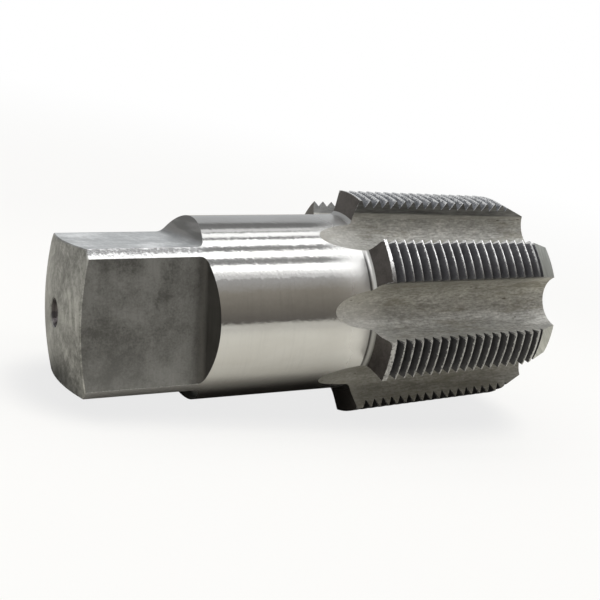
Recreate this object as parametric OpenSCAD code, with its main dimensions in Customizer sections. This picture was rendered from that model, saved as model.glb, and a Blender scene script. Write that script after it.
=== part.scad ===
// Taper pipe tap: a round steel blank with a drive square, a plain shank and a
// tapered right-hand thread that straight flutes divide into cutting lands.
// Made from one bar: turned between centres, squared, fluted, then thread-ground.
// Sizes in mm, +Z up, cutting end towards +X, resting on a flat surface.

/* [Blank] */
// whole length of the tool
overall_len = 107.95; // [105:0.05:112]
// diameter of the plain shank
shank_d = 38.1; // [37:0.1:39.5]
// how far the end face behind the square bulges
crown_rise = 2.67; // [1.5:0.01:4]

/* [Drive square] */
// width across the flats
square_af = 28.575; // [27.5:0.025:30]
// length of the flats before they run out into the shank
square_len = 25.1; // [20:0.1:28]
// steepness of the run-out wall, in degrees from the axis
square_wall_angle = 70; // [60:1:80]
// radius where the run-out wall meets the flat
square_fillet_r = 1.5; // [0.8:0.1:2.5]
// how far the square is turned against the first land, in degrees
square_turn = 8.9; // [2:0.1:12]

/* [Thread] */
// length of the threaded part
thread_len = 44.45; // [40:0.05:48]
// distance from one thread to the next
pitch = 2.2087; // [1.8:0.0001:2.6]
// diameter over the threads at the big end
thread_big_d = 48.73; // [46:0.01:51]
// millimetres of length for each millimetre the diameter shrinks
taper_ratio = 16; // [14:1:20]
// depth of the thread, measured from its crest
thread_depth = 1.68; // [1.2:0.01:1.8]
// width of the flat at the bottom of each groove
root_flat = 0.1; // [0.05:0.01:0.2]
// from the shoulder to the middle of the first groove on the first land
first_groove = 1.5; // [1.45:0.01:1.7]

/* [Lead chamfer] */
// length of the ground lead at the cutting end
lead_len = 7.0; // [4:0.1:10]
// diameter at the very tip
tip_d = 40.2; // [38.5:0.1:42]

/* [Shoulder] */
// how far the shoulder behind the thread leans, in degrees
shoulder_lean = 15; // [5:1:30]
// radius where the shoulder meets the shank
shoulder_fillet_r = 1.0; // [0.5:0.1:2]

/* [Flutes] */
// number of flutes
flutes = 7; // [7:1:7]
// distance of the flute floor from the axis, at the big end
floor_r = 16.1; // [15.3:0.1:16.8]
// millimetres of length for each millimetre the floor sinks towards the tip
floor_ratio = 80; // [60:5:200]
// radius of the rounded floor
flute_nose_r = 5.6; // [5:0.1:6]
// lean of each flute wall, in degrees
flute_wall_angle = 14.5; // [10:0.5:18]
// radius of the cutter that leaves the run-out tongue on the shank
cutter_r = 58; // [45:1:70]
// from the shoulder forwards to where the cutter was lifted
lift_start = 7.2; // [4:0.1:10]

/* [Centre holes] */
// diameter of the mouth of each centre hole
centre_mouth_d = 6.1; // [4:0.1:7]
// diameter of the drilled bottom of each centre hole
centre_drill_d = 2.5; // [2:0.1:3]
// depth of the drilled bottom of each centre hole
centre_drill_len = 4; // [3:0.1:6]

/* [Hidden] */
$fn = 96;

shank_r = shank_d / 2;
big_r = thread_big_d / 2;
tip_r = tip_d / 2;
half_af = square_af / 2;
crown_r = (shank_r * shank_r + crown_rise * crown_rise) / (2 * crown_rise);

// stations along the axis, counted from the middle of the square's end face
shoulder_z = overall_len - thread_len;
lead_z = overall_len - lead_len;
lead_r = big_r - (lead_z - shoulder_z) / (2 * taper_ratio);
wall_foot_z = square_len + square_fillet_r * tan(square_wall_angle / 2);

// fillet between the shoulder and the shank
lean_len = (big_r - shank_r) * tan(shoulder_lean);
foot_z = shoulder_z - lean_len;
fillet_back = shoulder_fillet_r / tan((90 + shoulder_lean) / 2);
fillet_top_r = shank_r + fillet_back * cos(shoulder_lean);
fillet_top_z = foot_z + fillet_back * sin(shoulder_lean);

// centre holes with a 60 degree mouth
cone_len = (centre_mouth_d - centre_drill_d) / 2 * tan(60);
mouth_r = centre_mouth_d / 2;
drill_r = centre_drill_d / 2;
mouth_z = crown_r - sqrt(crown_r * crown_r - mouth_r * mouth_r);

// thread grooves
step_angle = 360 / flutes;
groove_count = floor((thread_len - first_groove) / pitch) + 1;
groove_reach = thread_depth + 0.8;

// flute cutter: each wall leaves the rounded floor at a faint edge
wall_start_w = 0.996 * flute_nose_r * cos(flute_wall_angle);
wall_start_h = flute_nose_r * (1 - 0.9 * sin(flute_wall_angle));
flute_open_h = 13;
flute_open_w = wall_start_w + (flute_open_h - wall_start_h) * tan(flute_wall_angle);
lift_z = shoulder_z + lift_start;
lift_floor_r = floor_r - lift_start / floor_ratio;
floor_angle = atan(1 / floor_ratio);

// how the tool lies: on two lands at the shoulder and on the back of the tool
shoulder_floor_r = lift_floor_r + cutter_r - sqrt(cutter_r * cutter_r - lift_start * lift_start);
wall_tan = tan(flute_wall_angle);
wall_c = wall_start_w - (wall_start_h + shoulder_floor_r) * wall_tan;
quad_a = 1 + wall_tan * wall_tan;
quad_b = 2 * wall_c * wall_tan;
quad_c = wall_c * wall_c - big_r * big_r;
land_drop = (sqrt(quad_b * quad_b - 4 * quad_a * quad_c) - quad_b) / (2 * quad_a);
back_wall_z = wall_foot_z + (shank_r * cos(square_turn) - half_af) / tan(square_wall_angle);
corner_drop = shank_r * cos(acos(half_af / shank_r) - square_turn);
tilt_on_shank = atan((land_drop - shank_r) / (shoulder_z - back_wall_z));
tilt_on_corner = atan((land_drop - corner_drop) / (shoulder_z - crown_rise));
rest_tilt = min(tilt_on_shank, tilt_on_corner);
lift_up = land_drop * cos(rest_tilt) - shoulder_z * sin(rest_tilt);

// middle of the length as it lies, for centring
back_x = crown_r * (cos(rest_tilt) - 1);
tip_drop = tip_r * land_drop / big_r;
front_x = overall_len * cos(rest_tilt) + tip_drop * sin(rest_tilt);
mid_x = (back_x + front_x) / 2;

tap();

// the whole tool as it comes to rest on a flat surface
module tap() {
    color([0.55, 0.55, 0.54])
    translate([-mid_x, 0, lift_up])
    rotate([0, 90 - rest_tilt, 0])
    rotate([0, 0, 180])
    upright_tap();
}

// the tool standing on the square's end face, first land towards +X
module upright_tap() {
    difference() {
        milled_blank();
        thread_cuts();
    }
}

// the blank with its square and flutes milled, before the thread is ground
module milled_blank() {
    difference() {
        turned_blank();
        square_cuts();
        flute_cuts();
    }
}

// everything a lathe makes: crowned end, shank, shoulder, taper, lead, centres
module turned_blank() {
    rotate_extrude()
    difference() {
        intersection() {
            blank_outline();
            translate([0, crown_r])
            circle(r = crown_r, $fn = 360);
        }
        translate([fillet_centre_r(), fillet_centre_z()])
        circle(r = shoulder_fillet_r);
    }
}

// middle of the fillet behind the shoulder
function fillet_centre_r() = shank_r + shoulder_fillet_r;
function fillet_centre_z() = foot_z - fillet_back;

// half section of the blank, with both centre holes left out
module blank_outline() {
    polygon([
        [mouth_r, 0],
        [shank_r, 0],
        [shank_r, fillet_centre_z()],
        [fillet_centre_r(), fillet_centre_z()],
        [fillet_top_r, fillet_top_z],
        [big_r, shoulder_z],
        [lead_r, lead_z],
        [tip_r, overall_len],
        [mouth_r, overall_len],
        [drill_r, overall_len - cone_len],
        [drill_r, overall_len - cone_len - centre_drill_len],
        [0, overall_len - cone_len - centre_drill_len],
        [0, mouth_z + cone_len + centre_drill_len],
        [drill_r, mouth_z + cone_len + centre_drill_len],
        [drill_r, mouth_z + cone_len],
        [mouth_r, mouth_z]
    ]);
}

// four flats, each running out up a rounded, steep wall into the shank
module square_cuts() {
    for (side = [0 : 3]) {
        rotate([0, 0, side * 90 - square_turn])
        translate([0, shank_r + 5, 0])
        rotate([90, 0, 0])
        linear_extrude(height = 2 * shank_r + 10)
        flat_outline();
    }
}

// side view of what is milled away above one flat
module flat_outline() {
    cut_h = 8;
    arc_rise = square_fillet_r * (1 - cos(square_wall_angle));
    arc_len = square_fillet_r * sin(square_wall_angle);
    union() {
        polygon([
            [half_af, -5],
            [half_af, square_len],
            [half_af + square_fillet_r, square_len],
            [half_af + arc_rise, square_len + arc_len],
            [half_af + cut_h, wall_foot_z + cut_h / tan(square_wall_angle)],
            [half_af + cut_h, -5]
        ]);
        translate([half_af + square_fillet_r, square_len])
        circle(r = square_fillet_r);
    }
}

// all flutes
module flute_cuts() {
    for (i = [0 : flutes - 1]) {
        rotate([0, 0, (i + 0.5) * step_angle])
        one_flute_cut();
    }
}

// one flute: straight from the tip, then lifted out on the cutter's circle
module one_flute_cut() {
    translate([lift_floor_r, 0, lift_z])
    rotate([0, -floor_angle, 0])
    union() {
        linear_extrude(height = thread_len)
        flute_section();
        translate([cutter_r, 0, 0])
        rotate([90, 180, 0])
        rotate_extrude(angle = 30)
        translate([cutter_r, 0])
        mirror([1, 0])
        flute_section();
    }
}

// cross-section of a flute, floor at the origin, opening towards +X
module flute_section() {
    union() {
        translate([flute_nose_r, 0])
        circle(r = flute_nose_r);
        polygon([
            [wall_start_h, -wall_start_w],
            [flute_open_h, -flute_open_w],
            [flute_open_h, flute_open_w],
            [wall_start_h, wall_start_w]
        ]);
    }
}

// right-hand thread: each land's grooves sit a share of the pitch further along
module thread_cuts() {
    for (i = [0 : flutes - 1]) {
        turn = i < flutes - 1 ? i : -1;
        rotate([0, 0, (i - 0.4) * step_angle])
        rotate_extrude(angle = step_angle * 0.8)
        translate([0, turn * pitch / flutes])
        groove_row();
    }
}

// side view of all grooves of one land, joined outside the crests
module groove_row() {
    strip = 0.35;
    first_z = shoulder_z + first_groove;
    last_z = first_z + (groove_count - 1) * pitch;
    union() {
        for (i = [0 : groove_count - 1]) {
            along = first_groove + i * pitch;
            translate([big_r - thread_depth - along / (2 * taper_ratio), shoulder_z + along])
            groove();
        }
        polygon([
            [big_r + strip, first_z - pitch / 3],
            [big_r + strip + 3, first_z - pitch / 3],
            [big_r + strip + 3, last_z + pitch / 3],
            [big_r + strip - (thread_len + pitch) / (2 * taper_ratio), last_z + pitch / 3]
        ]);
    }
}

// one 60 degree groove, bottom at the origin
module groove() {
    polygon([
        [0, -root_flat / 2],
        [groove_reach, -root_flat / 2 - groove_reach * tan(30)],
        [groove_reach, root_flat / 2 + groove_reach * tan(30)],
        [0, root_flat / 2]
    ]);
}
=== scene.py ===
import bmesh
import bpy
import numpy as np
from mathutils import Matrix, Vector


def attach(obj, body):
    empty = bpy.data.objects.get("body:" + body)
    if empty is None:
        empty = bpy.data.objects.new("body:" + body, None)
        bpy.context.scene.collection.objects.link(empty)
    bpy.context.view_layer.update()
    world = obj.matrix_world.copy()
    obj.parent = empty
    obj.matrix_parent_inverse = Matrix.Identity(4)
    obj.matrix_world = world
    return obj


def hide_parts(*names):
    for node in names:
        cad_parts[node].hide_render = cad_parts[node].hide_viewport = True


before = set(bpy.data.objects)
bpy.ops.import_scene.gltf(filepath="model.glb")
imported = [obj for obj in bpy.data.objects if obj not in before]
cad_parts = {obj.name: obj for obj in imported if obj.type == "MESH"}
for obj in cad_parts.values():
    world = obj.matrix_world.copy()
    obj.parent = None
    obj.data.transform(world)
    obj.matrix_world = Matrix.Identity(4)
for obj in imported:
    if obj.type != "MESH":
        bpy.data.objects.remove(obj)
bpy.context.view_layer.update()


# Drive end: the back of the one bar of tool steel. Its face is turned to a shallow
# crown round a drilled centre hole, and a square is milled on it for the tap wrench.
# Each flat runs out up a fillet and a steep wall. The tap's sizes are in millimetres.
bar_r = 19.05
across_flats = 28.575
square_turn = np.radians(-8.9)
flat_end = 25.1
fillet = 1.5
wall_slope = np.radians(70)
crown = 2.67
crown_ball = (bar_r ** 2 + crown ** 2) / (2 * crown)
crown_set_in = 0.006
edge_break = 0.2
mouth_r, mouth_rim, rim_deep = 3.05, 0.15, 0.2
drill_r, drill_depth = 1.25, 4.0
mouth_depth = (mouth_r - drill_r) * np.tan(np.radians(60))
flat_columns, corner_columns = 24, 28
hole_rows, face_rows, flat_rows, fillet_rows, wall_rows = 5, 13, 9, 7, 14

# The finished tap lies on two lands at the shoulder and on one corner of its square,
# so that its axis rises 7 degrees towards the cutting end.
axis_start = np.array([-54.49898, 0.0, 15.61603])
axis_ahead = np.array([0.99244752, 0.0, 0.12266995])
first_land = np.array([-0.12266995, 0.0, 0.99244752])
towards_us = np.array([0.0, -1.0, 0.0])
sheets = []


def on_bar(along, angle, out):
    """Point of the bar, in metres: its start, plus the way along the axis, plus
    the distance out from it in the direction at that angle round from the first land."""
    side = np.cos(angle)[..., None] * first_land + np.sin(angle)[..., None] * towards_us
    return (axis_start + along[..., None] * axis_ahead + out[..., None] * side) / 1000


def keep_sheet(along, angle, out, finish, edge):
    """Keeps one closed band of the tap's skin: its grid of points, the finish of each
    four-sided face between two rows, and how near each point is to a sharp edge."""
    rows, columns = along.shape
    sheets.append((on_bar(along, angle, out), np.broadcast_to(finish, (rows - 1, columns)), edge))


def crown_sag(out):
    """How far the ball-shaped end face stands back at a distance out from the
    axis: ball radius less the root of ball radius squared less that distance squared,
    and a hair more, because the solid's own ball is drawn with straight sides."""
    return crown_set_in + crown_ball - np.sqrt(crown_ball ** 2 - out ** 2)


def square_columns(flat_high):
    """Angle and distance out of the columns round the square, for flats that lie
    flat_high from the axis: across each flat in equal steps, distance is the flat's
    height over the cosine of the angle from its middle, then along the round corner."""
    across = np.linspace(-1, 1, flat_columns + 1)
    round_part = np.arange(1, corner_columns) / corner_columns
    half = np.arccos(np.clip(flat_high / bar_r, 0, 1))[:, None]
    from_middle = np.arctan(across * np.tan(half))
    corner = half + (np.pi / 2 - 2 * half) * round_part
    one_side = np.concatenate([from_middle, corner], 1)
    out = np.concatenate([flat_high[:, None] / np.cos(from_middle), np.full_like(corner, bar_r)], 1)
    angle = np.concatenate([one_side + k * np.pi / 2 for k in range(4)], 1) + square_turn
    return angle, np.tile(out, (1, 4))


def drive_end_grid():
    """Rows of points from the drilled centre hole outwards over the end face, along
    the flats, up the fillet and the run-out wall to where its edge closes. The wall's
    rows are spaced so that the run-out edge turns by equal angles."""
    flat_high = across_flats / 2
    ease = np.linspace(0, 1, fillet_rows + 1)[1:] * wall_slope
    fillet_high = flat_high + fillet * (1 - np.cos(ease))
    fillet_along = flat_end + fillet * np.sin(ease)
    wall_turn = np.linspace(np.arccos(fillet_high[-1] / bar_r), 0, wall_rows + 1)[1:]
    wall_high = bar_r * np.cos(wall_turn)
    wall_along = fillet_along[-1] + (wall_high - fillet_high[-1]) / np.tan(wall_slope)
    high = np.concatenate([np.full(flat_rows, flat_high), fillet_high, wall_high])
    angle, out = square_columns(high)
    ring = np.zeros_like(out[0])
    face_edge = crown_sag(out[0]) + edge_break
    flat_along = face_edge + (flat_end - face_edge) * np.linspace(0, 1, flat_rows)[:, None]
    run_out_along = np.concatenate([fillet_along, wall_along])[:, None] + ring
    face_out = mouth_r + (out[0] - edge_break - mouth_r) * np.linspace(0, 1, face_rows)[:, None]
    mouth = crown_sag(mouth_r)
    bottom = mouth + mouth_depth + drill_depth
    hole_along = np.array([bottom, bottom, bottom - drill_depth / 2, bottom - drill_depth, mouth + rim_deep])
    hole_out = np.array([0.0, drill_r, drill_r, drill_r, mouth_r - mouth_rim])
    along = np.concatenate([hole_along[:, None] + ring, crown_sag(face_out), flat_along, run_out_along], 0)
    out = np.concatenate([hole_out[:, None] + ring, face_out, out], 0)
    angle = np.concatenate([np.repeat(angle[:1], hole_rows + face_rows, 0), angle], 0)
    return along, angle, out


# The steel's finishes are materials made of nodes, which these few functions place
# and link. Their coordinates run along the bar too, but in metres.
bar_tilt, bar_origin = np.radians(7.0462), (0.052171, 0, -0.022183)
finishes = []


def put(tree, kind, fields, sockets):
    """Adds a node: its own fields, then its sockets, where an output is linked and
    anything else is a plain value. A colour is given as its red, green and blue."""
    made = tree.nodes.new("ShaderNode" + kind)
    for name, value in fields.items():
        setattr(made, name, value)
    for name, value in sockets.items():
        socket = made.inputs[name]
        if isinstance(value, bpy.types.NodeSocket):
            tree.links.new(value, socket)
        else:
            socket.default_value = (*value, 1) if socket.type == "RGBA" else value
    return made


def sums(tree, operation, *values):
    """Output of a Math node over the values given."""
    return put(tree, "Math", {"operation": operation}, dict(enumerate(values))).outputs[0]


def between(tree, value, low, high, bottom=0.0, top=1.0):
    """Bottom where the value is at low, top where it is at high, with a smooth rise."""
    limits = {"Value": value, "From Min": low, "From Max": high, "To Min": bottom, "To Max": top}
    return put(tree, "MapRange", {"interpolation_type": "SMOOTHSTEP"}, limits).outputs["Result"]


def tint(tree, factor, first, second):
    """Mixes two colours by a factor."""
    return put(tree, "Mix", {"data_type": "RGBA"}, {0: factor, 6: first, 7: second}).outputs[2]


def spaced(tree, vector, scale):
    """The same coordinates, spaced closer or wider along each axis."""
    return put(tree, "VectorMath", {"operation": "MULTIPLY"}, {0: vector, 1: scale}).outputs[0]


def length(tree, vector):
    """Length of a vector."""
    return put(tree, "VectorMath", {"operation": "LENGTH"}, {0: vector}).outputs["Value"]


def split(tree, vector):
    """The X, Y and Z of a vector."""
    return put(tree, "SeparateXYZ", {}, {"Vector": vector}).outputs


def noise(tree, vector, scale, detail, roughness=0.55, distortion=0.0):
    """Value of a soft noise."""
    sockets = {"Vector": vector, "Scale": scale, "Detail": detail, "Roughness": roughness, "Distortion": distortion}
    return put(tree, "TexNoise", {}, sockets).outputs["Fac"]


def along_bar(tree):
    """Coordinates that follow the bar, in metres: X from the middle of the drive end
    along the axis, with Y and Z measured from the axis."""
    spot = put(tree, "TexCoord", {}, {}).outputs["Object"]
    turned = {"Vector": spot, "Rotation": (0, bar_tilt, 0), "Location": bar_origin}
    return put(tree, "Mapping", {"vector_type": "POINT"}, turned).outputs["Vector"]


def from_axis(tree, place):
    """Distance from the bar's axis."""
    return length(tree, spaced(tree, place, (0, 1, 1)))


def rings_round_axis(tree, place, drift=0.0):
    """Coordinates of rings round the axis: X is the distance from it, Y a drift."""
    return put(tree, "CombineXYZ", {}, {"X": from_axis(tree, place), "Y": drift}).outputs[0]


def new_group(name, inputs, outputs):
    """Starts a shader group with named sockets; gives its tree, inputs and end."""
    tree = bpy.data.node_groups.new(name, "ShaderNodeTree")
    for socket, kind in inputs:
        tree.interface.new_socket(socket, in_out="INPUT", socket_type="NodeSocket" + kind)
    for socket, kind in outputs:
        tree.interface.new_socket(socket, in_out="OUTPUT", socket_type="NodeSocket" + kind)
    return tree, tree.nodes.new("NodeGroupInput").outputs, tree.nodes.new("NodeGroupOutput").inputs


def new_finish(name, metallic):
    """Starts a steel finish; gives its number, its tree and its shader."""
    made = bpy.data.materials.new(name)
    made.use_nodes = True
    shader = made.node_tree.nodes["Principled BSDF"]
    shader.inputs["Metallic"].default_value = metallic
    finishes.append(made)
    return len(finishes) - 1, made.node_tree, shader


def dress(tree, shader, colour, roughness, height, microns):
    """Gives a finish its colour, its roughness and a relief, which is the height times
    a depth in thousandths of a millimetre."""
    relief = put(tree, "Bump", {}, {"Height": height, "Distance": microns * 1e-6})
    tree.links.new(colour, shader.inputs["Base Color"])
    tree.links.new(roughness, shader.inputs["Roughness"])
    tree.links.new(relief.outputs["Normal"], shader.inputs["Normal"])


# Tool marks: fine uneven lines in wider bundles, across the way in which the
# given coordinates are spaced closest.
tool_marks, given, end = new_group("tool_marks", [("Vector", "Vector")], [("Lines", "Float")])
fine = sums(tool_marks, "MULTIPLY", noise(tool_marks, given["Vector"], 1.0, 2.0, 0.6), 0.6)
bundle = sums(tool_marks, "MULTIPLY", noise(tool_marks, given["Vector"], 0.19, 2.0, 0.5), 0.4)
mixed = sums(tool_marks, "ADD", fine, bundle)
tool_marks.links.new(between(tool_marks, mixed, 0.3, 0.7), end["Lines"])


def marks(tree, place, spacing):
    """Tool marks in a finish, with this many to the metre along each axis."""
    return put(tree, "Group", {"node_tree": tool_marks}, {"Vector": spaced(tree, place, spacing)}).outputs["Lines"]


# Heat-treatment scale: soft clouds of darker and lighter grey, finely mottled.
scale_cloud, given, end = new_group(
    "scale_cloud", [("Vector", "Vector"), ("Dark", "Color"), ("Light", "Color"), ("Mottle", "Float")],
    [("Color", "Color"), ("Cloud", "Float")])
wide = noise(scale_cloud, given["Vector"], 110.0, 5.0, 0.6, 0.25)
mottle = noise(scale_cloud, given["Vector"], 620.0, 4.0, 0.65, 0.3)
mixed = put(scale_cloud, "Mix", {"data_type": "FLOAT"}, {0: given["Mottle"], 2: wide, 3: mottle}).outputs[0]
grain = sums(scale_cloud, "SUBTRACT", noise(scale_cloud, given["Vector"], 2600.0, 2.0, 0.6), 0.5)
mixed = sums(scale_cloud, "ADD", mixed, sums(scale_cloud, "MULTIPLY", grain, 0.25))
cloud = between(scale_cloud, mixed, 0.36, 0.66)
scale_cloud.links.new(cloud, end["Cloud"])
scale_cloud.links.new(tint(scale_cloud, cloud, given["Dark"], given["Light"]), end["Color"])


def clouds(tree, place, dark, light, mottle=0.4):
    """Colour and cloud mask of the heat-treatment scale in a finish, with its share
    of fine mottle."""
    looks = {"Vector": place, "Dark": dark, "Light": light, "Mottle": mottle}
    made = put(tree, "Group", {"node_tree": scale_cloud}, looks)
    return made.outputs["Color"], made.outputs["Cloud"]


# Painted edge highlight: bright where the skin's edge value is near 1, broken up here and there.
painted_edge_highlight, given, end = new_group(
    "painted_edge_highlight", [("Edge", "Float"), ("Vector", "Vector"), ("Width", "Float")], [("Mask", "Float")])
wobble = sums(painted_edge_highlight, "SUBTRACT", noise(painted_edge_highlight, given["Vector"], 3000.0, 2.0, 0.6), 0.5)
wobble = sums(painted_edge_highlight, "MULTIPLY", sums(painted_edge_highlight, "MULTIPLY", wobble, 5.0), given["Width"])
jagged = sums(painted_edge_highlight, "ADD", given["Edge"], wobble)
inner = sums(painted_edge_highlight, "SUBTRACT", 1.0, given["Width"])
outer = sums(painted_edge_highlight, "SUBTRACT", 1.0, sums(painted_edge_highlight, "MULTIPLY", given["Width"], 0.45))
breaks = between(painted_edge_highlight, noise(painted_edge_highlight, given["Vector"], 900.0, 3.0, 0.6), 0.36, 0.52, 0.6, 1.0)
highlight = sums(painted_edge_highlight, "MULTIPLY", between(painted_edge_highlight, jagged, inner, outer), breaks)
painted_edge_highlight.links.new(highlight, end["Mask"])


def edge_highlight_mask(tree, place, width):
    """Mask of the painted edge highlights in a finish, from the skin's edge values."""
    value = put(tree, "Attribute", {"attribute_name": "edge"}, {}).outputs["Fac"]
    made = put(tree, "Group", {"node_tree": painted_edge_highlight}, {"Edge": value, "Vector": place, "Width": width})
    return made.outputs["Mask"]


# Ground round: the plain shank and the round corner strips, the only polished surface,
# with fine marks round it. The wrench has roughened the strips. Towards the shoulder it
# is paler and duller, and past a painted dark shade line the fillet is painted dark grey
# below as painted shade, less so on top.
ground_shank, tree, shader = new_finish("ground_shank", 1.0)
bright_steel, warm_steel, mark_grey = (0.60, 0.60, 0.59), (0.55, 0.545, 0.53), (0.35, 0.35, 0.34)
pale_steel, painted_shade, fillet_shade_grey = (0.86, 0.86, 0.85), (0.06, 0.06, 0.06), (0.17, 0.17, 0.165)
handled_grey = (0.34, 0.35, 0.37)
strips_end, grain_change = (0.0245, 0.0275), (0.024, 0.028)
paler, duller = (0.052, 0.061), (0.050, 0.061)
line_start, line_end, fillet_start = (0.0610, 0.0612), (0.0615, 0.0618), (0.0615, 0.0617)
place = along_bar(tree)
way, height = split(tree, place)["X"], split(tree, place)["Z"]
lines = marks(tree, place, (4200, 190, 190))
wave = noise(tree, place, 520.0, 2.0, 0.5)
smear = noise(tree, spaced(tree, place, (40, 150, 150)), 1.0, 4.0, 0.6, 0.5)
grain = noise(tree, spaced(tree, place, (1700, 900, 900)), 1.0, 2.0, 0.5)
on_top = between(tree, height, 0.012, 0.017)
colour = tint(tree, between(tree, smear, 0.35, 0.7), bright_steel, warm_steel)
colour = tint(tree, between(tree, lines, 0.0, 0.5, 0.1, 0.0), colour, mark_grey)
colour = tint(tree, between(tree, way, *paler, 0.0, 0.5), colour, pale_steel)
# Painted shade: a dark line round the bar where the fillet starts, fainter on top.
shade_line = sums(tree, "MULTIPLY", between(tree, way, *line_start), between(tree, way, *line_end, 0.85, 0.0))
shade_line = sums(tree, "MULTIPLY", shade_line, between(tree, on_top, 0.0, 1.0, 1.0, 0.25))
colour = tint(tree, shade_line, colour, painted_shade)
# Painted shade: the fillet is painted dark grey low down, and half as much on top.
fillet_shade = sums(tree, "ADD", between(tree, height, 0.0, 0.006, 0.75, 0.0), sums(tree, "MULTIPLY", on_top, 0.5))
fillet_shade = sums(tree, "MULTIPLY", fillet_shade, between(tree, way, *fillet_start))
colour = tint(tree, fillet_shade, colour, fillet_shade_grey)
colour = tint(tree, between(tree, way, *strips_end, 0.3, 0.0), colour, handled_grey)
wave = sums(tree, "MULTIPLY", wave, between(tree, way, *grain_change, 16.0, 12.0))
grain = sums(tree, "MULTIPLY", grain, between(tree, way, *grain_change, 45.0, 20.0))
relief = sums(tree, "ADD", sums(tree, "ADD", sums(tree, "MULTIPLY", lines, 0.8), wave), grain)
rough = sums(tree, "ADD", between(tree, smear, 0.3, 0.7, 0.07, 0.12), between(tree, way, *duller, 0.0, 0.24))
rough = sums(tree, "ADD", rough, between(tree, way, *strips_end, 0.07, 0.0))
dress(tree, shader, colour, rough, relief, 1)

# End face: turned, then darkened by the heat treatment, with rings round the centre.
turned_end, tree, shader = new_finish("turned_end_face", 0.8)
ring_dark, bare_steel = (0.12, 0.12, 0.11), (0.60, 0.60, 0.57)
place = along_bar(tree)
colour, cloud = clouds(tree, place, (0.14, 0.14, 0.133), (0.40, 0.40, 0.38), 0.5)
rings = rings_round_axis(tree, place, noise(tree, place, 90.0, 1.0))
lines = marks(tree, rings, (2600, 2, 0))
colour = tint(tree, between(tree, lines, 0.0, 1.0, 0.0, 0.25), colour, ring_dark)
turned = between(tree, noise(tree, spaced(tree, rings, (520, 1.5, 0)), 1.0, 3.0, 0.6), 0.48, 0.66, 0.0, 0.42)
patch = between(tree, noise(tree, place, 260.0, 3.0, 0.6), 0.44, 0.62)
colour = tint(tree, sums(tree, "MULTIPLY", patch, turned), colour, bare_steel)
dress(tree, shader, colour, between(tree, cloud, 0, 1, 0.5, 0.6), lines, 3)

# The broken edge round the end face, rubbed bright by the wrench.
broken_edge, tree, shader = new_finish("broken_edge", 0.9)
colour, cloud = clouds(tree, along_bar(tree), (0.16, 0.16, 0.15), (0.46, 0.46, 0.44))
dress(tree, shader, colour, between(tree, cloud, 0, 1, 0.5, 0.35), cloud, 5)

# Centre hole: drilled, smooth, and browned dark inside by the heat treatment.
drilled_hole, tree, shader = new_finish("drilled_hole", 1.0)
lines = marks(tree, along_bar(tree), (3000, 200, 200))
colour = tint(tree, lines, (0.045, 0.04, 0.04), (0.13, 0.12, 0.12))
dress(tree, shader, colour, between(tree, lines, 0, 1, 0.12, 0.25), lines, 4)

# Flats: milled across. The top and bottom ones are painted a pale grey as painted light,
# and the other two lie under dark scale. The run-out walls are painted darkest as painted
# shade, with broad milling streaks. Low down all of them are painted towards an even mid
# grey as painted light.
flats = []
mark_dark, low_painted_light, edge_highlight_grey = (0.1, 0.1, 0.095), (0.42, 0.43, 0.43), (0.5, 0.5, 0.49)
wall_start = 0.0268
for name, metal, dark, light, wall, streak, foot, rough in (
        # Painted light: the top and bottom flats are painted near white, the near and back ones stay dark.
        ("painted_light_flat", 0.5, (0.50, 0.52, 0.53), (0.95, 0.97, 0.98), (0.035, 0.034, 0.034), 3.6, 0.0245, 0.42),
        ("scaled_flat", 0.8, (0.112, 0.112, 0.108), (0.27, 0.272, 0.265), (0.042, 0.039, 0.035), 1.35, 0.0225, 0.5)):
    flat, tree, shader = new_finish(name, metal)
    place = along_bar(tree)
    way, height = split(tree, place)["X"], split(tree, place)["Z"]
    colour, cloud = clouds(tree, place, dark, light, 0.22)
    lines = marks(tree, place, (2600, 130, 130))
    colour = tint(tree, between(tree, lines, 0.0, 1.0, 0.0, 0.16), colour, mark_dark)
    # Painted light: low down every flat is lightened towards mid grey.
    colour = tint(tree, between(tree, height, -0.012, 0.002, 0.22, 0.0), colour, low_painted_light)
    # Painted shade: the fillet and run-out wall are darkened, with real milling streaks in it.
    streaks = noise(tree, spaced(tree, place, (1500, 60, 60)), 1.0, 2.0, 0.5, 0.2)
    streaked = tuple(streak * shade for shade in wall)
    wall_shade_and_streaks = tint(tree, between(tree, streaks, 0.40, 0.60), wall, streaked)
    colour = tint(tree, between(tree, way, foot, wall_start, 0.0, 0.88), colour, wall_shade_and_streaks)
    # Painted highlight along the flats' edges.
    colour = tint(tree, edge_highlight_mask(tree, place, 0.06), colour, edge_highlight_grey)
    dress(tree, shader, colour, between(tree, cloud, 0, 1, rough - 0.05, rough + 0.07), lines, 3)
    flats.append(flat)

# Rows of faces from the middle out: the hole, the end face, its broken edge, and then
# the flats with the corner strips between them.
along, angle, out = drive_end_grid()
round_finish = np.repeat([flats[0], ground_shank, flats[1], ground_shank] * 2, [flat_columns, corner_columns] * 4)
finish = round_finish + np.zeros((len(along) - 1, 1), int)
first_flat_row = hole_rows + face_rows
finish[:first_flat_row] = turned_end
finish[first_flat_row - 1] = broken_edge
finish[:hole_rows - 1] = drilled_hole
edge = np.zeros(along.shape)
edge[first_flat_row:, np.tile(np.isin(np.arange(flat_columns + corner_columns), (0, flat_columns)), 4)] = 1.0
keep_sheet(along, angle, out, finish, edge)


# Flutes: seven straight channels, milled lengthwise between the lands of the cutting
# part. Each ends in a tongue, where the round cutter was lifted out of the shank. The
# wall under each land's lower edge is ground to make its cutting face.
bar_length, thread_length = 107.95, 44.45
shoulder = bar_length - thread_length
flute_count = 7
floor_r, floor_slope = 16.1, 1 / 80
nose_r, wall_lean = 5.6, np.radians(14.5)
cutter_r, cutter_lift = 58.0, 7.2
lift_along = shoulder + cutter_lift
search_back, halvings = 30, 60
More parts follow.
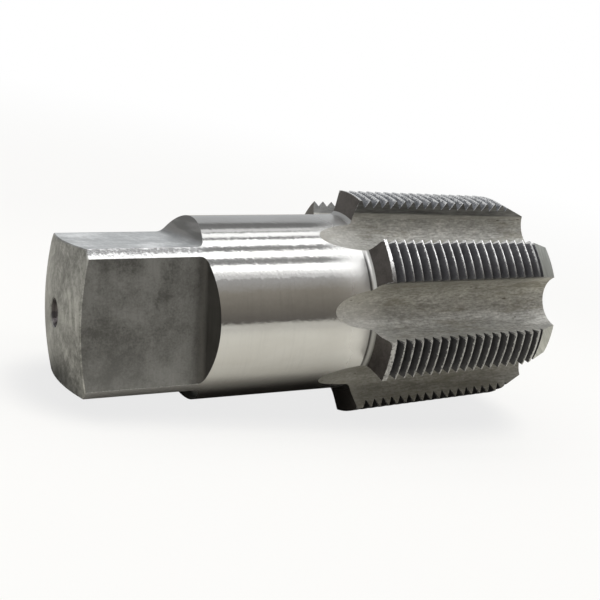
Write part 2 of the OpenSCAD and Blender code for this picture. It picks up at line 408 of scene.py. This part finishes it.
# the thread's taper is 1 in 16 across, so its radius loses 1 in 32
taper = 1 / 32


def floor_height(along):
    """Distance of the flute floor from the axis: a straight slope from the tip to
    where the cutter was lifted, then the cutter's circle up through the shank."""
    straight = floor_r - (along - shoulder) * floor_slope
    back = np.clip(lift_along - along, 0, None)
    return straight + cutter_r - np.sqrt(cutter_r ** 2 - back ** 2)


def flute_half_angle(along, out):
    """Half the angle that a flute takes up on a circle of radius out: where that
    circle meets the rounded floor, by the rule of cosines, or further out the leaning
    wall, by a quadratic's larger root. Also how far round the floor that is, as an
    angle, and how far up the wall."""
    middle = floor_height(along) + nose_r
    cosine = (middle ** 2 + nose_r ** 2 - out ** 2) / (2 * middle * nose_r)
    bend = np.arccos(np.clip(cosine, -1, 1))
    top = np.pi / 2 - wall_lean
    bend_end = np.minimum(bend, top)
    x0, y0 = middle - nose_r * np.cos(top), nose_r * np.sin(top)
    b = x0 * np.cos(wall_lean) + y0 * np.sin(wall_lean)
    climb = np.clip(-b + np.sqrt(np.clip(b ** 2 - (x0 ** 2 + y0 ** 2 - out ** 2), 0, None)), 0, None)
    climb = np.where(bend < top, 0, climb)
    x = middle - nose_r * np.cos(bend_end) + climb * np.cos(wall_lean)
    y = nose_r * np.sin(bend_end) + climb * np.sin(wall_lean)
    return np.arctan2(y, x), bend_end, climb


def tongue_tip():
    """Where the cutter's circle comes out through the shank, by halving."""
    low, high = lift_along - search_back, lift_along
    for _ in range(halvings):
        middle = (low + high) / 2
        low, high = (middle, high) if floor_height(np.array(middle)) > bar_r else (low, middle)
    return (low + high) / 2


flutes_start = tongue_tip()

# Milled flutes: left matte, with streaks along them, oil stains and pits. They are
# paler at the tongues, and painted darker low down as painted shade.
milled_flute, tree, shader = new_finish("milled_flute", 0.9)
streak_grey, grain_grey, oil = (0.22, 0.215, 0.195), (0.19, 0.185, 0.17), (0.25, 0.235, 0.185)
tongue_steel, painted_shade, old_oil = (0.74, 0.73, 0.70), (0.16, 0.155, 0.135), (0.21, 0.19, 0.14)
pit_brown, edge_highlight_grey = (0.1, 0.085, 0.065), (0.5, 0.5, 0.48)
tongues = (0.059, 0.068)
place = along_bar(tree)
way, height = split(tree, place)["X"], split(tree, place)["Z"]
colour, cloud = clouds(tree, place, (0.53, 0.53, 0.505), (0.68, 0.675, 0.645))
lines = marks(tree, place, (450, 3000, 3000))
colour = tint(tree, between(tree, lines, 0.0, 1.0, 0.45, 0.0), colour, streak_grey)
grain = noise(tree, spaced(tree, place, (1100, 2700, 2700)), 1.0, 2.0, 0.6)
colour = tint(tree, between(tree, grain, 0.35, 0.65, 0.42, 0.0), colour, grain_grey)
patch = noise(tree, spaced(tree, place, (75, 330, 330)), 1.0, 5.0, 0.7, 0.4)
colour = tint(tree, between(tree, patch, 0.48, 0.64, 0.0, 0.46), colour, oil)
colour = tint(tree, between(tree, way, *tongues, 0.4, 0.0), colour, tongue_steel)
# Painted shade: the flutes are darker low down.
colour = tint(tree, between(tree, height, -0.013, -0.004, 0.52, 0.0), colour, painted_shade)
stain_top = between(tree, height, 0.011, 0.014, 1.0, 0.0)
stain = sums(tree, "MULTIPLY", between(tree, height, 0.0035, 0.0075, 0.0, 0.26), stain_top)
colour = tint(tree, stain, colour, old_oil)
pits = noise(tree, spaced(tree, place, (500, 1300, 1300)), 1.0, 2.0, 0.5)
colour = tint(tree, between(tree, pits, 0.70, 0.77, 0.0, 0.7), colour, pit_brown)
# Painted highlight along the flute's edges at the lands.
colour = tint(tree, edge_highlight_mask(tree, place, 0.1), colour, edge_highlight_grey)
dress(tree, shader, colour, between(tree, lines, 0, 1, 0.72, 0.62), sums(tree, "ADD", lines, grain), 5)

# Cutting faces: ground smooth up through the teeth, which leaves a dark band 1.2 mm
# wide below them. The band sinks with the taper, so its distance from the axis is
# measured with the taper added back.
cutting_face, tree, shader = new_finish("cutting_face", 0.85)
streak_grey, band_start = (0.2, 0.195, 0.175), (0.0231, 0.0236)
place = along_bar(tree)
colour, cloud = clouds(tree, place, (0.42, 0.415, 0.385), (0.58, 0.57, 0.54))
lines = marks(tree, place, (350, 2600, 2600))
colour = tint(tree, between(tree, lines, 0.0, 1.0, 0.5, 0.0), colour, streak_grey)
sunk = sums(tree, "MULTIPLY", split(tree, place)["X"], taper)
band = between(tree, sums(tree, "ADD", from_axis(tree, place), sunk), *band_start)
colour = tint(tree, band, colour, tint(tree, lines, (0.09, 0.09, 0.088), (0.2, 0.2, 0.195)))
dress(tree, shader, colour, between(tree, band, 0, 1, 0.55, 0.4), lines, 3)


# Plain shank: what is left of the ground bar between the square and the flutes. Its
# columns start where the corners of the square leave them, and turn by less than a
# degree to meet those of the cutting part.
run_out_rise = bar_r - across_flats / 2 - fillet * (1 - np.cos(wall_slope))
run_out_end = flat_end + fillet * np.sin(wall_slope) + run_out_rise / np.tan(wall_slope)
land_columns = 16
shank_columns, shank_rings = land_columns * flute_count, 25
columns_to_square = 5


def shank_grid():
    """Rings of points on the shank's cylinder, turning evenly from the square's
    columns to those of the cutting part, whose first stands half a land's share of
    the round before the first land's middle."""
    step = 2 * np.pi / shank_columns
    column = np.arange(shank_columns) * step
    twist = (-np.pi / flute_count + columns_to_square * step) - square_turn
    t = np.linspace(0, 1, shank_rings)[:, None]
    along = run_out_end + (flutes_start - run_out_end) * t + np.zeros_like(column)
    return along, square_turn + column + twist * t, np.full_like(along, bar_r)


along, angle, out = shank_grid()
keep_sheet(along, angle, out, ground_shank, np.zeros(along.shape))


# Cutting part: the seven lands that the flutes leave, of the same bar. They start at
# a faced shoulder with a fillet. The thread is ground on them with a taper of 1 in 16,
# and their front is ground down to the lead that starts the cut.
pitch = 25.4 / 11.5
thread_r = 24.365
thread_depth, root_flat, flank_angle = 1.68, 0.1, np.radians(30)
first_groove, groove_count, whole_grooves = 1.5, 19, 18
lead_length, tip_r = 7.0, 20.1
lead_start = bar_length - lead_length
half_land = np.radians(10.9)
shoulder_lean, foot_fillet = np.radians(15), 1.0
wall_columns, nose_columns = 5, 16
shank_rows, foot_rows, lean_rows, groove_rows = 18, 7, 6, 4
shank_crowding = 1.6


def outer_line(along):
    """Radius of the ground outside before threading: the 1 in 16 taper, or the
    steeper lead where that is lower."""
    on_taper = thread_r - (along - shoulder) * taper
    lead_r = thread_r - (lead_start - shoulder) * taper
    on_lead = lead_r - (along - lead_start) * (lead_r - tip_r) / (bar_length - lead_start)
    return np.minimum(on_taper, on_lead)


def thread_rows(shift):
    """The toothed side view, for columns whose thread is shifted along by shift:
    four rows a groove, where its 60 degree flanks leave the outer line and where they
    meet the narrow bottom, which is thread_depth under the taper at the groove. A
    groove that starts on the lead may leave it on the taper, and the other way round."""
    flank = 1 / np.tan(flank_angle)
    lead_r = thread_r - (lead_start - shoulder) * taper
    lead_slope = (lead_r - tip_r) / (bar_length - lead_start)
    along, out, crest = [], [], []
    for turn in range(groove_count):
        middle = shoulder + first_groove + turn * pitch + shift
        bottom = thread_r - thread_depth - (first_groove + turn * pitch) * taper
        back, front = middle - root_flat / 2, middle + root_flat / 2
        reach_back = (outer_line(back) - bottom) / (flank - np.where(back > lead_start, lead_slope, taper))
        reach_front = (outer_line(front) - bottom) / (flank + np.where(front > lead_start, lead_slope, taper))
        over = (back > lead_start) & (back - reach_back < lead_start)
        on_taper = (thread_r - (back - shoulder) * taper - bottom) / (flank - taper)
        reach_back = np.clip(np.where(over, np.minimum(reach_back, on_taper), reach_back), 0, None)
        under = (front <= lead_start) & (front + reach_front > lead_start)
        on_lead = (lead_r - (front - lead_start) * lead_slope - bottom) / (flank + lead_slope)
        reach_front = np.clip(np.where(under, np.minimum(reach_front, on_lead), reach_front), 0, None)
        for spot, at_crest in ((back - reach_back, 1.0), (back, 0.0), (front, 0.0), (front + reach_front, 1.0)):
            along.append(spot)
            out.append(outer_line(spot) if at_crest else np.minimum(bottom, outer_line(spot)))
            crest.append(np.full_like(spot, at_crest))
    return np.array(along), np.array(out), np.array(crest)


def cutting_grid():
    """Rows from the tongues' tips to the front: up the shank, the shoulder's fillet
    and leaning face, through the thread and down the lead. Columns go round land,
    wall, rounded floor and wall, seven times. Thread rows follow the helix: each
    column is shifted along by its angle's share of the pitch. Also gives how near
    each point is to a sharp edge, the stretch that the faces after each row belong to,
    and the part of the flute each column belongs to."""
    share = 2 * np.pi / flute_count
    # columns: 0 on a land, 1 and 3 on the flute's walls, 2 on its rounded floor
    side = np.repeat([0, 1, 2, 3], [land_columns + 1, wall_columns, nose_columns - 1, wall_columns])
    place = np.concatenate([np.linspace(-1, 1, land_columns + 1), np.linspace(1, 0, wall_columns + 1)[1:],
                            np.linspace(1, -1, nose_columns + 1)[1:-1], np.linspace(0, 1, wall_columns + 1)[:-1]])
    land_no = np.repeat(np.arange(flute_count), len(side))
    side, place = np.tile(side, flute_count), np.tile(place, flute_count)
    # the helix climbs evenly over a land, and over a flute a quarter on each wall and
    # half on the floor; the last land starts a turn back, and the flute before it
    # leads down to it
    walk = np.select([side == 1, side == 2, side == 3], [(1 - place) * 0.25, 0.5 - place * 0.25, 0.75 + place * 0.25])
    across = np.where(side == 0, place * half_land, half_land + walk * (share - 2 * half_land))
    turns = (land_no * share + across) / (2 * np.pi)
    turns = turns - np.where(land_no == flute_count - 1, 1, 0)
    turns = turns - np.where((land_no == flute_count - 2) & (side > 0), walk, 0)
    # rows up to the shoulder's corner
    foot = shoulder - (thread_r - bar_r) * np.tan(shoulder_lean)
    back = foot_fillet / np.tan((np.pi / 2 + shoulder_lean) / 2)
    top_out = bar_r + back * np.cos(shoulder_lean)
    top_along = foot + back * np.sin(shoulder_lean)
    bend = np.linspace(0, np.pi / 2 - shoulder_lean, foot_rows)
    foot_along = foot - back + foot_fillet * np.sin(bend)
    foot_out = bar_r + foot_fillet * (1 - np.cos(bend))
    ramp = np.linspace(0, 1, shank_rows + 1)[:-1] ** shank_crowding
    shank_along = flutes_start + (foot_along[0] - flutes_start) * ramp
    rise = np.linspace(0, 1, lean_rows + 1)[1:]
    plain_along = np.concatenate([shank_along, foot_along, top_along + (shoulder - top_along) * rise])
    plain_out = np.concatenate([np.full(shank_rows, bar_r), foot_out, top_out + (thread_r - top_out) * rise])
    # rows through the thread and down to the front
    tooth_along, tooth_out, tooth_crest = thread_rows(pitch * turns)
    end_along = np.array([0.5, 1.0])[:, None] * (bar_length - tooth_along[-1]) + tooth_along[-1]
    ones = np.ones_like(turns)
    along = np.concatenate([plain_along[:, None] * ones, tooth_along, end_along], 0)
    out = np.concatenate([plain_out[:, None] * ones, tooth_out, outer_line(end_along)], 0)
    # edges: the shoulder's corner, the crests, the lands' rims and the front
    corner_row = len(plain_along) - 1
    edge = np.concatenate([np.zeros((len(plain_along), len(ones))), tooth_crest, np.ones_like(end_along)], 0)
    edge[corner_row] = 1.0
    edge[-2] = 0.0
    edge[:, (side == 0) & (np.abs(place) == 1)] = 1.0
    edge[:, side > 0] = 0.0
    # stretches: 0 the shank and fillet, 1 the shoulder's face, 2 the thread, 3 the lead
    thread_faces = groove_rows * whole_grooves
    lead_faces = len(along) - 1 - corner_row - thread_faces
    stretch = np.repeat([0, 1, 2, 3], [corner_row - lean_rows, lean_rows, thread_faces, lead_faces])
    # the flute's section: round the floor by an angle, then up the wall by a length
    half, bend_end, climb = flute_half_angle(along, out)
    middle = floor_height(along) + nose_r
    turn = np.where(side == 2, np.abs(place), 1.0) * bend_end
    lift = np.where((side == 1) | (side == 3), place, 0.0) * climb
    x = middle - nose_r * np.cos(turn) + lift * np.cos(wall_lean)
    y = nose_r * np.sin(turn) + lift * np.sin(wall_lean)
    y = y * np.where(side == 2, -np.sign(place), np.where(side == 1, -1.0, 1.0))
    on_land = land_no * share + place * (share / 2 - half)
    in_flute = (land_no + 0.5) * share + np.arctan2(y, x)
    angle = np.where(side > 0, in_flute, on_land)
    return along, angle, np.where(side > 0, np.hypot(x, y), out), edge, stretch, side


# Thread: ground through the dark scale. The flanks stay blue-black, with painted light
# on the top and far lands and painted shade low down. The crests carry a painted highlight:
# near white high up, dark about 9 mm above the axis and mid grey below.
ground_thread, tree, shader = new_finish("ground_thread", 0.8)
dark_blue, pale_blue, painted_shade = (0.16, 0.165, 0.175), (0.30, 0.31, 0.33), (0.03, 0.03, 0.03)
painted_crest_low, painted_crest_middle, painted_crest_high = (0.42, 0.42, 0.42), (0.15, 0.15, 0.15), (0.95, 0.95, 0.95)
top_land, far_lands = (0.0185, 0.0205), (0.006, 0.012)
place = along_bar(tree)
height = split(tree, place)["Z"]
colour, cloud = clouds(tree, place, (0.12, 0.12, 0.13), (0.18, 0.18, 0.19))
lines = noise(tree, spaced(tree, place, (1800, 900, 900)), 1.0, 3.0, 0.6)
# Painted light: the flanks of the top land and the far lands are paler.
lit_flanks = tint(tree, between(tree, lines, 0.38, 0.62), dark_blue, pale_blue)
on_far_lands = between(tree, split(tree, place)["Y"], *far_lands)
colour = tint(tree, sums(tree, "MAXIMUM", between(tree, height, *top_land), on_far_lands), colour, lit_flanks)
# Painted shade: the flanks are darker low down.
colour = tint(tree, between(tree, height, -0.002, 0.008, 0.6, 0.0), colour, painted_shade)
# Painted highlight on the crests, wider on the top land: near white high up, dark about 9 mm above the axis, mid grey
# below.
crest = edge_highlight_mask(tree, place, between(tree, height, *top_land, 0.1, 0.22))
crest_highlight = tint(tree, between(tree, height, 0.003, 0.008), painted_crest_low, painted_crest_middle)
crest_highlight = tint(tree, between(tree, height, 0.0105, 0.0165), crest_highlight, painted_crest_high)
colour = tint(tree, crest, colour, crest_highlight)
dress(tree, shader, colour, between(tree, crest, 0, 1, 0.42, 0.25), sums(tree, "ADD", cloud, lines), 3)

# Shoulder: faced off behind the thread, brownish black.
faced_shoulder, tree, shader = new_finish("faced_shoulder", 0.8)
edge_highlight_grey = (0.5, 0.5, 0.5)
place = along_bar(tree)
colour, cloud = clouds(tree, place, (0.07, 0.063, 0.06), (0.12, 0.11, 0.105))
lines = marks(tree, rings_round_axis(tree, place), (2400, 0, 0))
# Painted highlight along the shoulder's corner.
colour = tint(tree, edge_highlight_mask(tree, place, 0.12), colour, edge_highlight_grey)
dress(tree, shader, colour, between(tree, cloud, 0, 1, 0.4, 0.5), lines, 4)

# Lead: ground last, pale, with slanting wheel marks.
ground_lead, tree, shader = new_finish("ground_lead", 0.9)
wheel_slant = (0, 0.5, 0.6)
turned = {"Vector": along_bar(tree), "Rotation": wheel_slant}
slanted = put(tree, "Mapping", {"vector_type": "POINT"}, turned).outputs["Vector"]
lines = marks(tree, slanted, (4200, 160, 160))
colour = tint(tree, lines, (0.34, 0.35, 0.325), (0.50, 0.51, 0.48))
dress(tree, shader, colour, between(tree, lines, 0, 1, 0.42, 0.32), lines, 3)

# Faces on a land take the finish of their stretch. The rest are milled flute, but for
# the lower walls, which are cutting faces from the shoulder on.
along, angle, out, edge, stretch, side = cutting_grid()
land_face = (side == 0) & (np.roll(side, -1) == 0)
lower_wall = (np.roll(side, -1) == 1) | (side == 1)
stretch_finish = np.array([ground_shank, faced_shoulder, ground_thread, ground_lead])
finish = np.where(land_face, stretch_finish[stretch][:, None], milled_flute)
finish[shank_rows + foot_rows - 1:, lower_wall] = cutting_face
keep_sheet(along, angle, out, finish, edge)
front_angle, front_out = angle[-1], out[-1]


# Front face: flat, ground square to the axis, with the same centre hole as the
# drive end. It fills the star that the seven flutes leave.
front_rows = 10


def front_grid(edge_angle, edge_out):
    """Rows from the front's outline straight in to the centre hole's mouth, down its
    cone and drilled wall to the bottom."""
    ring = np.zeros_like(edge_out)
    face_out = edge_out + (mouth_r - edge_out) * np.linspace(0, 1, front_rows)[:, None]
    hole_out = np.array([drill_r, drill_r, drill_r, 0.0])[:, None] + ring
    depth = mouth_depth + drill_depth * np.array([0, 0.5, 1, 1])
    along = np.concatenate([np.full_like(face_out, bar_length), bar_length - depth[:, None] + ring], 0)
    out = np.concatenate([face_out, hole_out], 0)
    return along, np.repeat(edge_angle[None], len(along), 0), out


ground_front, tree, shader = new_finish("ground_front", 0.9)
ring_grey = (0.19, 0.19, 0.18)
place = along_bar(tree)
colour, cloud = clouds(tree, place, (0.30, 0.30, 0.28), (0.42, 0.42, 0.40))
lines = marks(tree, rings_round_axis(tree, place), (2600, 0, 0))
colour = tint(tree, between(tree, lines, 0.0, 1.0, 0.5, 0.0), colour, ring_grey)
dress(tree, shader, colour, between(tree, lines, 0, 1, 0.35, 0.5), lines, 4)

along, angle, out = front_grid(front_angle, front_out)
finish = np.full((len(along) - 1, along.shape[1]), ground_front)
finish[front_rows - 1:] = drilled_hole
edge = np.zeros(along.shape)
edge[0] = 1.0
keep_sheet(along, angle, out, finish, edge)


# The whole tap is one piece of steel: the bands are joined into one closed skin.
# Each grid closes round the bar, so a column's right neighbour of the last is the
# first; points that fall together where bands meet and columns run out are merged.
merge_reach = 2e-6
sharp_turn = np.radians(15)
on_round = 0.002
first_point = np.cumsum([0] + [points[..., 0].size for points, _, _ in sheets])
quads = []
for start, (points, _, _) in zip(first_point, sheets):
    rows, columns = points.shape[:2]
    row, column = np.indices((rows - 1, columns))
    here = start + row * columns + column
    beside = start + row * columns + (column + 1) % columns
    quads.append(np.stack([here, beside, beside + columns, here + columns], -1).reshape(-1, 4))
skin = bpy.data.meshes.new("tap_steel")
skin.from_pydata(np.concatenate([points.reshape(-1, 3) for points, _, _ in sheets]), [], np.concatenate(quads))
skin.polygons.foreach_set("material_index", np.concatenate([f.reshape(-1) for _, f, _ in sheets]).astype(np.int32))
near_edge = skin.attributes.new("edge", "FLOAT", "POINT")
near_edge.data.foreach_set("value", np.concatenate([e.reshape(-1) for _, _, e in sheets]).astype(np.float32))
for finish in finishes:
    skin.materials.append(finish)
joined = bmesh.new()
joined.from_mesh(skin)
bmesh.ops.remove_doubles(joined, verts=joined.verts, dist=merge_reach)
joined.to_mesh(skin)
joined.free()
skin.polygons.foreach_set("use_smooth", np.ones(len(skin.polygons), bool))
skin.set_sharp_from_angle(angle=sharp_turn)
skin.update()


def values_of(items, name, width, kind):
    """One value of each of the mesh's items, or a row of a few, as an array."""
    values = np.empty(len(items) * width, kind)
    items.foreach_get(name, values)
    return values.reshape(-1, width)


# The ground round mirrors as a true cylinder: where a corner of one of its faces lies
# on the bar's radius, its shading points straight out from the axis, also beside the
# tongues.
corner_point = values_of(skin.loops, "vertex_index", 1, np.int32)[:, 0]
from_start = values_of(skin.vertices, "co", 3, np.float32)[corner_point] * 1000 - axis_start
straight_out = from_start - (from_start @ axis_ahead)[:, None] * axis_ahead
distance = np.linalg.norm(straight_out, axis=1, keepdims=True)
face_corners = values_of(skin.polygons, "loop_total", 1, np.int32)[:, 0]
corner_finish = np.repeat(values_of(skin.polygons, "material_index", 1, np.int32), face_corners, 0)
true_round = (corner_finish == ground_shank) & (np.abs(distance - bar_r) < on_round)
shading = values_of(skin.corner_normals, "vector", 3, np.float32)
skin.normals_split_custom_set(np.where(true_round, straight_out / np.maximum(distance, 1e-6), shading))

tap = bpy.data.objects.new("tap_steel", skin)
bpy.context.scene.collection.objects.link(tap)
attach(tap, "root")
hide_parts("tap")


# Camera: in front of the drive end, a little above it, rolled by the way the
# photograph was held. Its place is the one at which the standard sizes of such
# a tap land on the measured edges of the photograph, 600 pixels wide and high.
picture_px = 600
lens_px, centre_px = 1034.1, (250.0, 205.0)
sensor_width = 36.0
right = Vector((0.893142, -0.397204, 0.211011))
down = Vector((0.116212, -0.249423, -0.961396))
ahead = Vector((0.434502, 0.883186, -0.176610))
eye = Vector((-0.111011, -0.190160, 0.080196))
camera_data = bpy.data.cameras.new("camera")
camera_data.sensor_width = sensor_width
camera_data.lens = lens_px / picture_px * sensor_width
camera_data.shift_x = (picture_px / 2 - centre_px[0]) / picture_px
camera_data.shift_y = -(picture_px / 2 - centre_px[1]) / picture_px
camera_data.clip_start, camera_data.clip_end = 0.01, 20.0
camera = bpy.data.objects.new("camera", camera_data)
camera.matrix_world = Matrix.Translation(eye) @ Matrix((right, -down, -ahead)).transposed().to_4x4()
bpy.context.scene.collection.objects.link(camera)
bpy.context.scene.camera = camera
bpy.context.scene.view_settings.view_transform = "Standard"


# Floor: a sheet of white paper that runs on to the white background. What the
# camera sees of it is mostly plain white, so the tap's soft shadow stays light;
# what the steel mirrors of it is lit by the lamps and warmer, with a painted shadow
# close to the tap and painted shade, a greyer paper, far out.
floor_size, half_tap = 6.0, 0.045
close_by, around = (0.009, 0.022), (0.06, 0.18)
painted_shadow_grey, near_paper, far_paper = (0.11, 0.105, 0.10), (0.95, 0.925, 0.84), (0.81, 0.79, 0.73)
white, mirrored_white = (1, 1, 1), (1.0, 0.98, 0.87)
floor_mesh = bpy.data.meshes.new("floor")
corners = floor_size / 2 * np.array([[-1, -1, 0], [1, -1, 0], [1, 1, 0], [-1, 1, 0]])
floor_mesh.from_pydata(corners, [], [(0, 1, 2, 3)])
floor = bpy.data.objects.new("floor", floor_mesh)
bpy.context.scene.collection.objects.link(floor)
paper = bpy.data.materials.new("white_paper")
paper.use_nodes = True
tree = paper.node_tree
tree.nodes.remove(tree.nodes["Principled BSDF"])
place = put(tree, "TexCoord", {}, {}).outputs["Object"]
spot = split(tree, place)
past_end = sums(tree, "MAXIMUM", sums(tree, "SUBTRACT", sums(tree, "ABSOLUTE", spot["X"]), half_tap), 0.0)
off_tap = length(tree, put(tree, "CombineXYZ", {}, {"X": past_end, "Y": spot["Y"]}).outputs[0])
# Painted shadow: the paper is painted dark grey within about 2 cm of the tap.
shaded = tint(tree, between(tree, off_tap, *close_by), painted_shadow_grey, near_paper)
# Painted shade: the paper is painted greyer beyond 6 to 18 cm from the tap.
shaded = tint(tree, between(tree, off_tap, *around), shaded, far_paper)
lit = put(tree, "BsdfDiffuse", {}, {"Color": shaded}).outputs[0]
path = put(tree, "LightPath", {}, {}).outputs
mirrored = sums(tree, "MAXIMUM", path["Is Glossy Ray"], path["Is Transmission Ray"])
glow = {"Color": tint(tree, mirrored, white, mirrored_white), "Strength": 1.0}
plain = put(tree, "Emission", {}, glow).outputs[0]
away = length(tree, place)
seen = sums(tree, "MULTIPLY", path["Is Camera Ray"], between(tree, away, 0.15, 0.6, 0.8, 1.0))
share = sums(tree, "ADD", seen, sums(tree, "MULTIPLY", mirrored, between(tree, away, 0.12, 0.8, 0.0, 0.05)))
whole = put(tree, "MixShader", {}, {0: share, 1: lit, 2: plain}).outputs[0]
tree.links.new(whole, tree.nodes["Material Output"].inputs["Surface"])
floor_mesh.materials.append(paper)


# Light: seven long strip lamps overhead, side by side along the tap. The five
# bright ones make the bands on the polished shank, and the two faint ones in front
# soften the first band's edge. The room is dim in front, mid grey behind and left.
lamp_height, lamp_length = 0.9, 2.4
strips = [("outer_apron", -0.67, -0.56, 0.45), ("front_apron", -0.56, -0.47, 0.9),
          ("front_strip", -0.47, -0.316, 2.1), ("near_strip", -0.165, -0.02, 2.3),
          ("middle_strip", 0.105, 0.265, 2.0), ("far_strip", 0.345, 0.50, 1.35), ("back_strip", 0.54, 0.69, 0.65)]
front_wall = [(0.0, (0.15, 0.138, 0.125)), (0.3, (0.24, 0.22, 0.19)), (0.55, (0.335, 0.308, 0.268)),
              (0.72, (0.5, 0.49, 0.48)), (0.85, (0.37, 0.37, 0.37))]
back_wall = [(0.0, (0.54, 0.55, 0.56)), (0.45, (0.56, 0.57, 0.58)), (0.53, (0.51, 0.515, 0.52)),
             (0.60, (0.22, 0.22, 0.22)), (0.8, (0.34, 0.34, 0.34))]
left_wall = (0.55, 0.55, 0.54)
for name, front_side, back_side, brightness in strips:
    width = back_side - front_side
    data = bpy.data.lights.new(name, "AREA")
    data.shape = "RECTANGLE"
    data.size, data.size_y = lamp_length, width
    data.energy = brightness * np.pi * lamp_length * width
    lamp = bpy.data.objects.new(name, data)
    lamp.location = (0, (front_side + back_side) / 2, lamp_height)
    bpy.context.scene.collection.objects.link(lamp)


def wall_colours(tree, height, stops):
    """Colours up a wall of the room, at given sines of the height angle."""
    ramp = put(tree, "ValToRGB", {}, {"Fac": height})
    while len(ramp.color_ramp.elements) < len(stops):
        ramp.color_ramp.elements.new(0.5)
    for element, (at, colour) in zip(ramp.color_ramp.elements, stops):
        element.position = at
        element.color = (*colour, 1)
    return ramp.outputs["Color"]


room = bpy.data.worlds.new("room")
room.use_nodes = True
tree = room.node_tree
look = split(tree, put(tree, "TexCoord", {}, {}).outputs["Generated"])
front, back = wall_colours(tree, look["Z"], front_wall), wall_colours(tree, look["Z"], back_wall)
walls = tint(tree, between(tree, look["Y"], -0.25, 0.25), front, back)
walls = tint(tree, between(tree, look["X"], -0.5, -0.9, 0.0, 1.0), walls, left_wall)
camera_ray = put(tree, "LightPath", {}, {}).outputs["Is Camera Ray"]
background = tree.nodes["Background"]
tree.links.new(tint(tree, camera_ray, walls, white), background.inputs["Color"])
background.inputs["Strength"].default_value = 1.0
bpy.context.scene.world = room
